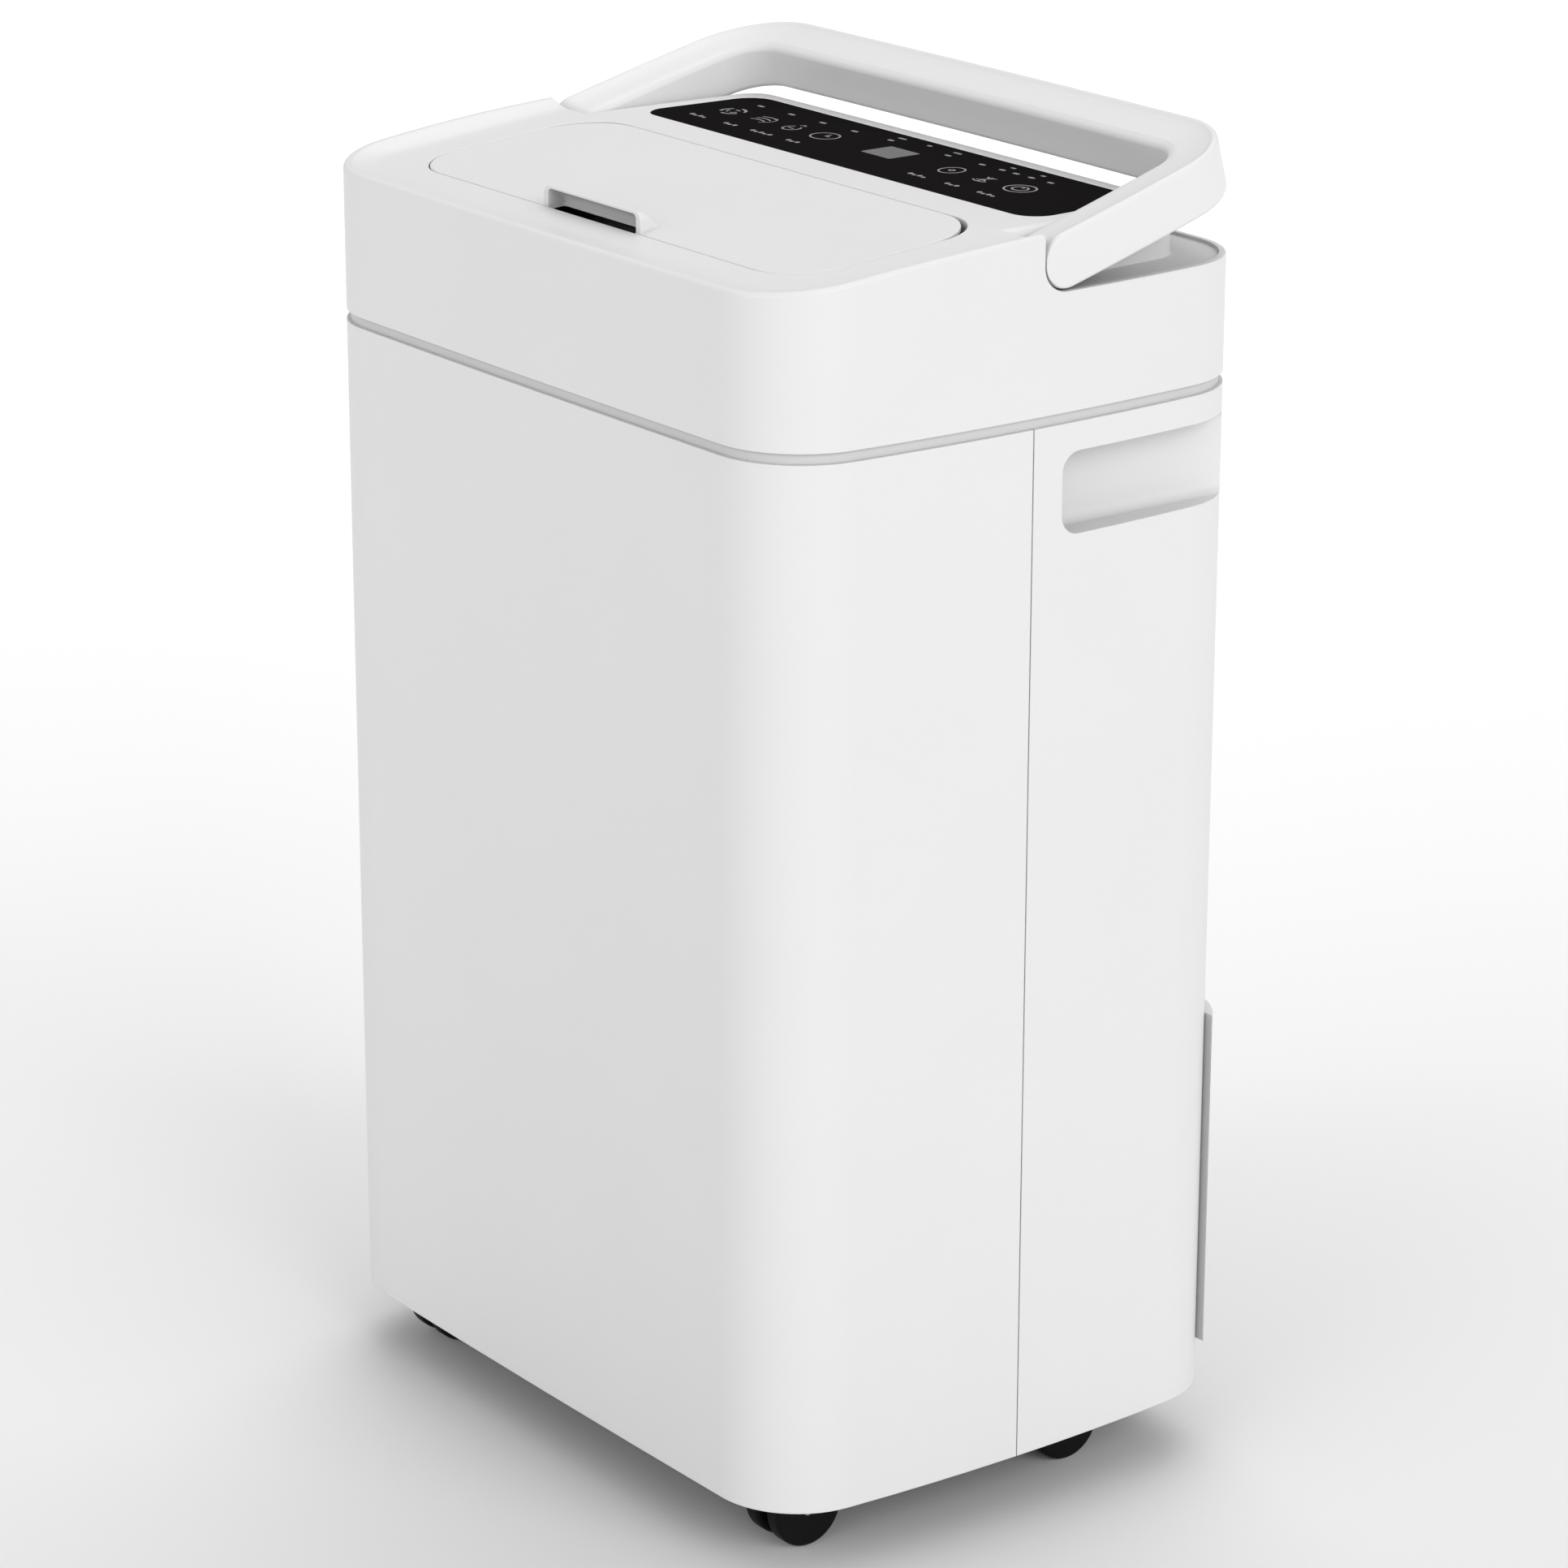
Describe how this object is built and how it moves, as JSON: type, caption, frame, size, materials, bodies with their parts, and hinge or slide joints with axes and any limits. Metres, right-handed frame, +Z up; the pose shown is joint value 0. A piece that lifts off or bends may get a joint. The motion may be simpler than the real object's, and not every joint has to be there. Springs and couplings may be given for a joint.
{
  "type": "dehumidifier",
  "caption": "Portable room dehumidifier: white cabinet on twin-wheel casters, tilting top handle, black touch panel, air outlet flap and rear water tank.",
  "frame": {"origin": "on the floor, under the middle of the cabinet", "axes": "+Z up, +Y to the back (tank and air intake side), +X to the right seen from the front; the front face looks along -Y"},
  "size_m": [0.3594, 0.2625, 0.6067],
  "materials": {
    "white_shell": "fine matte texture",
    "white_handle": "fine matte texture",
    "black_glass": "polished",
    "display_grey": "dim display window",
    "inner_plastic": "satin",
    "black_plastic": "satin",
    "black_rubber": "matte",
    "steel": "satin",
    "galvanised": "galvanised",
    "aluminium_fins": "bright",
    "copper": "copper",
    "black_enamel": "gloss enamel",
    "tank_clear": "translucent",
    "filter_net": "nylon net",
    "green_board": "solder mask",
    "float_white": "foam"
  },
  "bodies": {
    "cabinet": {"accumulator": "copper", "base_pan": "inner_plastic", "base_screws": "steel", "board_box": "black_plastic", "capillary_tube": "copper", "chassis": "inner_plastic", "compressor": "black_enamel", "compressor_feet": "black_rubber", "condenser_fins": "aluminium_fins", "condenser_tubes": "copper", "control_board": "green_board", "control_glass": "black_glass", "cord_inlet": "black_plastic", "discharge_pipe": "copper", "display_module": "display_grey", "drain_spigot": "inner_plastic", "drip_tray": "inner_plastic", "evaporator_fins": "aluminium_fins", "evaporator_tubes": "copper", "fan_motor": "galvanised", "fan_scroll": "inner_plastic", "front_cover": "white_shell", "humidity_sensor": "black_plastic", "level_switch": "black_plastic", "main_board": "green_board", "mid_deck": "white_shell", "outlet_duct": "inner_plastic", "outlet_grille": "inner_plastic", "rear_cover": "white_shell", "run_capacitor": "galvanised", "suction_pipe": "copper", "top_housing": "white_shell"},
    "handle": {"handle_lower": "white_handle", "handle_upper": "white_handle", "handle_pins": "inner_plastic"},
    "flap": {"outlet_flap": "white_shell", "flap_pins": "steel"},
    "filter": {"intake_grille": "white_shell", "filter_mesh": "filter_net"},
    "tank": {"tank_bucket": "tank_clear", "tank_lid": "inner_plastic", "tank_front": "white_shell"},
    "float": {"tank_float": "float_white"},
    "fan": {"fan_impeller": "black_plastic", "fan_shaft": "steel"},
    "front_left_swivel": {"front_left_caster_yoke": "black_plastic", "front_left_caster_axle": "steel"},
    "front_left_wheels": {"front_left_caster_wheels": "black_plastic"},
    "front_right_swivel": {"front_right_caster_yoke": "black_plastic", "front_right_caster_axle": "steel"},
    "front_right_wheels": {"front_right_caster_wheels": "black_plastic"},
    "rear_left_swivel": {"rear_left_caster_yoke": "black_plastic", "rear_left_caster_axle": "steel"},
    "rear_left_wheels": {"rear_left_caster_wheels": "black_plastic"},
    "rear_right_swivel": {"rear_right_caster_yoke": "black_plastic", "rear_right_caster_axle": "steel"},
    "rear_right_wheels": {"rear_right_caster_wheels": "black_plastic"}
  },
  "joints": [
    {"name": "handle_pivot", "type": "hinge", "parent": "cabinet", "child": "handle", "pos_m": [0, 0.017, 0.5658], "axis": [1, 0, 0], "range_deg": [-15, 75]},
    {"name": "flap_hinge", "type": "hinge", "parent": "cabinet", "child": "flap", "pos_m": [0, 0.0033, 0.57415], "axis": [-1, 0, 0], "range_deg": [0, 75]},
    {"name": "filter_pull", "type": "slide", "parent": "cabinet", "child": "filter", "axis": [0, 1, 0], "range_m": [0, 0.06]},
    {"name": "tank_slide", "type": "slide", "parent": "cabinet", "child": "tank", "axis": [0, 1, 0], "range_m": [0, 0.13]},
    {"name": "float_swing", "type": "hinge", "parent": "tank", "child": "float", "pos_m": [0.07, 0.045, 0.19], "axis": [1, 0, 0], "range_deg": [0, 20]},
    {"name": "fan_spin", "type": "hinge", "parent": "cabinet", "child": "fan", "pos_m": [0, -0.036, 0.36], "axis": [0, 1, 0], "continuous": true},
    {"name": "front_left_swivel_turn", "type": "hinge", "parent": "cabinet", "child": "front_left_swivel", "pos_m": [-0.135, -0.07325, 0.04], "axis": [0, 0, 1], "continuous": true},
    {"name": "front_left_wheel_roll", "type": "hinge", "parent": "front_left_swivel", "child": "front_left_wheels", "pos_m": [-0.135, -0.08985, 0.0175], "axis": [1, 0, 0], "continuous": true},
    {"name": "front_right_swivel_turn", "type": "hinge", "parent": "cabinet", "child": "front_right_swivel", "pos_m": [0.135, -0.07325, 0.04], "axis": [0, 0, 1], "continuous": true},
    {"name": "front_right_wheel_roll", "type": "hinge", "parent": "front_right_swivel", "child": "front_right_wheels", "pos_m": [0.135, -0.08985, 0.0175], "axis": [1, 0, 0], "continuous": true},
    {"name": "rear_left_swivel_turn", "type": "hinge", "parent": "cabinet", "child": "rear_left_swivel", "pos_m": [-0.135, 0.07325, 0.04], "axis": [0, 0, 1], "continuous": true},
    {"name": "rear_left_wheel_roll", "type": "hinge", "parent": "rear_left_swivel", "child": "rear_left_wheels", "pos_m": [-0.135, 0.05665, 0.0175], "axis": [1, 0, 0], "continuous": true},
    {"name": "rear_right_swivel_turn", "type": "hinge", "parent": "cabinet", "child": "rear_right_swivel", "pos_m": [0.135, 0.07325, 0.04], "axis": [0, 0, 1], "continuous": true},
    {"name": "rear_right_wheel_roll", "type": "hinge", "parent": "rear_right_swivel", "child": "rear_right_wheels", "pos_m": [0.135, 0.05665, 0.0175], "axis": [1, 0, 0], "continuous": true}
  ]
}
